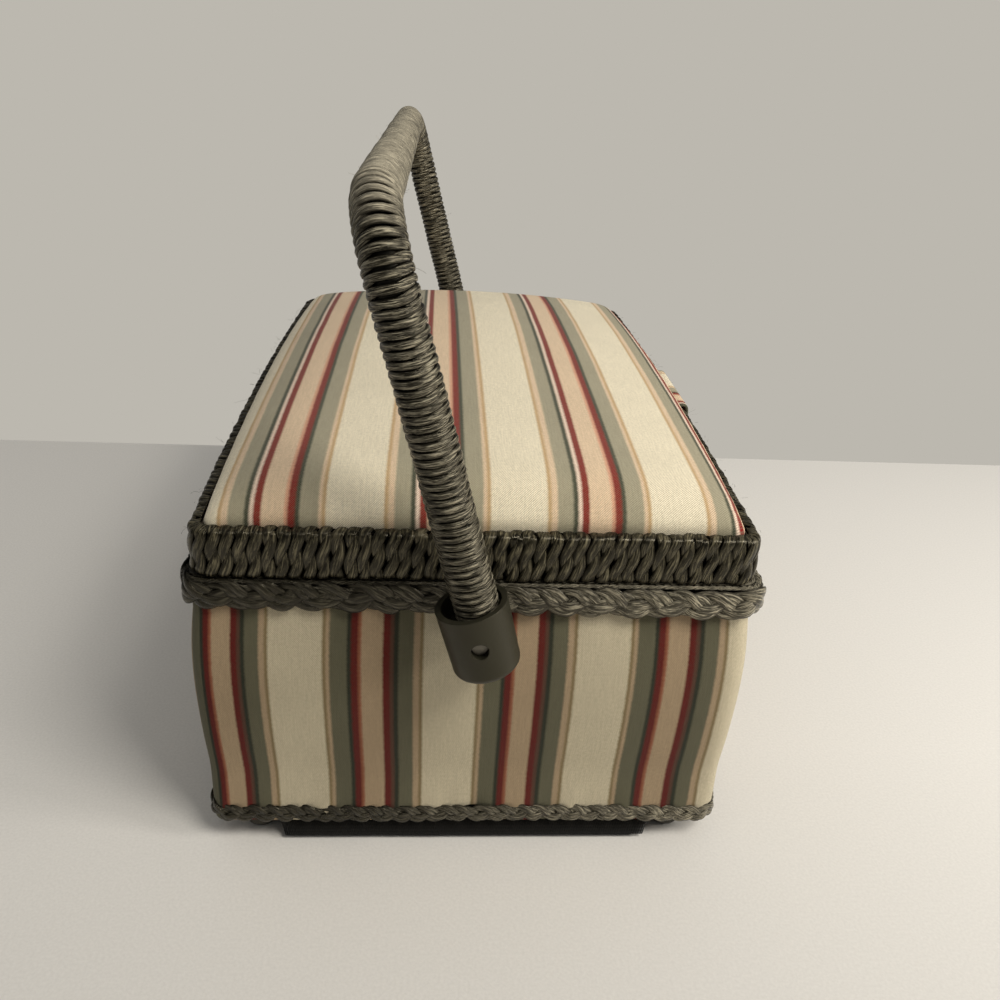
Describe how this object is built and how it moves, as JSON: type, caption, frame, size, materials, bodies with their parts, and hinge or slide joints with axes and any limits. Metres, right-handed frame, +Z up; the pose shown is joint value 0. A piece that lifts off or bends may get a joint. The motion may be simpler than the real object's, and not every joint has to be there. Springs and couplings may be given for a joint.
{
  "type": "sewing basket",
  "caption": "Rectangular fabric-covered sewing basket with a padded hinged lid, cord-wrapped rim, plaited bands and a folding bail handle.",
  "frame": {"origin": "on the surface it stands on, under the middle of the basket", "axes": "+Z up; +X from the hinge side to the closure tab side; +Y along the basket's length"},
  "size_m": [0.209, 0.3594, 0.247],
  "materials": {
    "striped_fabric": "matte",
    "lining_fabric": "matte",
    "base_cloth": "matte",
    "cord": "satin",
    "board": "matte",
    "socket_plastic": "satin",
    "foot_plastic": "satin",
    "steel": "satin",
    "brass": "satin"
  },
  "bodies": {
    "basket": {"end_walls": "board", "side_wall_back": "board", "side_wall_front": "board", "bottom_board": "board", "body_cover": "striped_fabric", "body_lining": "lining_fabric", "floor_pad": "lining_fabric", "base_cloth": "base_cloth", "upper_braid": "cord", "lower_braid": "cord", "feet": "foot_plastic", "foot_tacks": "steel", "hinge_lower_leaves": "brass", "hinge_pins": "brass", "hinge_wall_screws": "brass", "pivot_screws": "steel", "pivot_washers": "steel", "inner_washers": "steel", "pivot_nuts": "steel", "snap_stud": "steel"},
    "lid": {"lid_board": "board", "lid_frame": "board", "lid_rim_wrap": "cord", "lid_pad": "striped_fabric", "lid_lining": "lining_fabric", "hinge_upper_leaves": "brass", "hinge_lid_screws": "brass"},
    "handle": {"handle_core": "steel", "handle_wrap": "cord", "handle_socket_near": "socket_plastic", "handle_socket_far": "socket_plastic"},
    "tab": {"closure_tab": "striped_fabric", "snap_cap": "steel"}
  },
  "joints": [
    {"name": "lid_open", "type": "hinge", "parent": "basket", "child": "lid", "pos_m": [-0.1023, 0, 0.1172], "axis": [0, -1, 0], "range_deg": [0, 38]},
    {"name": "handle_swing", "type": "hinge", "parent": "basket", "child": "handle", "pos_m": [0, 0, 0.1075], "axis": [0, 1, 0], "range_deg": [-110, 140]},
    {"name": "tab_lift", "type": "hinge", "parent": "lid", "child": "tab", "pos_m": [0.0925, 0, 0.1362], "axis": [0, -1, 0], "range_deg": [0, 110]}
  ]
}
